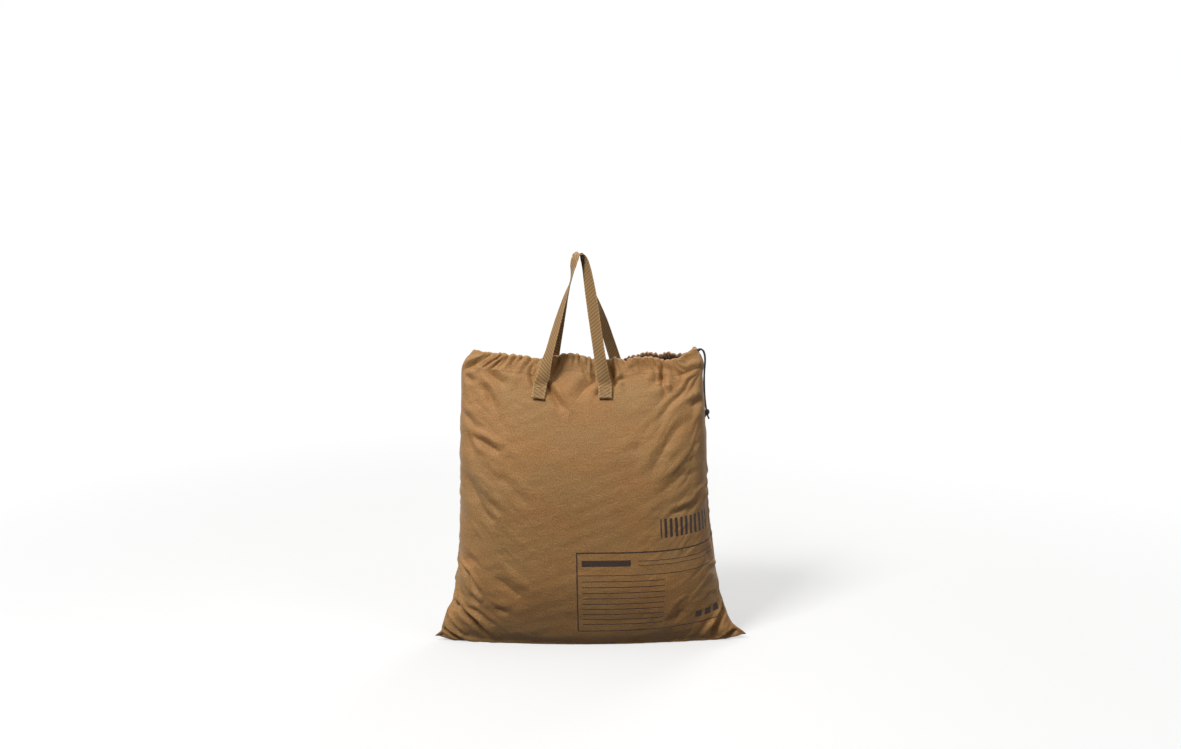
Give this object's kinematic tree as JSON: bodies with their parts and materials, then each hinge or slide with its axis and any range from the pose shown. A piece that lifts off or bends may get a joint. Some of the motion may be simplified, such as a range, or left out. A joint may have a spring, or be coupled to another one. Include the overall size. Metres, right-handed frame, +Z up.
{
  "type": "packed inflatable double sofa",
  "caption": "Inflatable double sofa folded inside its drawstring carry bag, with webbing handles, drawcord, screw valves and zips.",
  "frame": {"origin": "on the floor, under the middle of the bag", "axes": "+Z up towards the handles, -Y the bag's front, +X the side where the cord leaves the mouth"},
  "size_m": [0.6942, 0.2266, 0.8621],
  "materials": {
    "oxford_cloth": "coated woven, matt",
    "webbing": "ribbed webbing, matt",
    "thread": "polyester thread",
    "cord": "braided, matt",
    "sofa_cloth": "woven, matt",
    "bladder_film": "calendered film, satin",
    "valve_plastic": "moulded, satin",
    "insert_plastic": "moulded, satin",
    "silicone": "soft, satin",
    "zip_tape": "knitted tape with moulded coil",
    "zip_metal": "cast and tumbled"
  },
  "bodies": {
    "bag": {"bag_front_panel": "oxford_cloth", "bag_back_panel": "oxford_cloth", "drawcord_in_casing": "cord", "cord_tail_front": "cord", "cord_tail_back": "cord", "cord_knot": "cord", "front_handle_left_sewn_end": "webbing", "front_handle_left_stitching": "thread", "front_handle_right_sewn_end": "webbing", "front_handle_right_stitching": "thread", "back_handle_left_sewn_end": "webbing", "back_handle_left_stitching": "thread", "back_handle_right_sewn_end": "webbing", "back_handle_right_stitching": "thread", "seat_cover": "sofa_cloth", "seat_bladder": "bladder_film", "seat_valve_base": "valve_plastic", "seat_valve_insert": "insert_plastic", "seat_valve_flap": "silicone", "seat_zip_tape": "zip_tape", "backrest_cover": "sofa_cloth", "backrest_bladder": "bladder_film", "backrest_valve_base": "valve_plastic", "backrest_valve_insert": "insert_plastic", "backrest_valve_flap": "silicone", "backrest_zip_tape": "zip_tape"},
    "front_handle": {"front_handle_loop": "webbing"},
    "back_handle": {"back_handle_loop": "webbing"},
    "seat_cap": {"seat_valve_cap": "valve_plastic"},
    "backrest_cap": {"backrest_valve_cap": "valve_plastic"},
    "seat_slider": {"seat_zip_slider": "zip_metal"},
    "seat_pull": {"seat_zip_pull": "zip_metal"},
    "backrest_slider": {"backrest_zip_slider": "zip_metal"},
    "backrest_pull": {"backrest_zip_pull": "zip_metal"}
  },
  "joints": [
    {"name": "front_handle_swing", "type": "hinge", "parent": "bag", "child": "front_handle", "pos_m": [0, -0.0452, 0.5827], "axis": [1, 0, 0], "range_deg": [0, 135]},
    {"name": "back_handle_swing", "type": "hinge", "parent": "bag", "child": "back_handle", "pos_m": [0, 0.08421, 0.53525], "axis": [-1, 0, 0], "range_deg": [0, 135]},
    {"name": "seat_cap_unscrew", "type": "hinge", "parent": "bag", "child": "seat_cap", "pos_m": [-0.13, -0.05601, 0.38483], "axis": [0, 0, 1], "range_deg": [0, 540]},
    {"name": "backrest_cap_unscrew", "type": "hinge", "parent": "bag", "child": "backrest_cap", "pos_m": [0.11, 0.05601, 0.44596], "axis": [0, 0, 1], "range_deg": [0, 540]},
    {"name": "seat_zip_slide", "type": "slide", "parent": "bag", "child": "seat_slider", "axis": [-1, 0, 0], "range_m": [0, 0.36]},
    {"name": "seat_pull_flip", "type": "hinge", "parent": "seat_slider", "child": "seat_pull", "pos_m": [0.17001, -0.014, 0.46001], "axis": [0, 1, 0], "range_deg": [0, 170]},
    {"name": "backrest_zip_slide", "type": "slide", "parent": "bag", "child": "backrest_slider", "axis": [1, 0, 0], "range_m": [0, 0.36]},
    {"name": "backrest_pull_flip", "type": "hinge", "parent": "backrest_slider", "child": "backrest_pull", "pos_m": [-0.19001, 0.014, 0.46001], "axis": [0, -1, 0], "range_deg": [0, 170]}
  ]
}
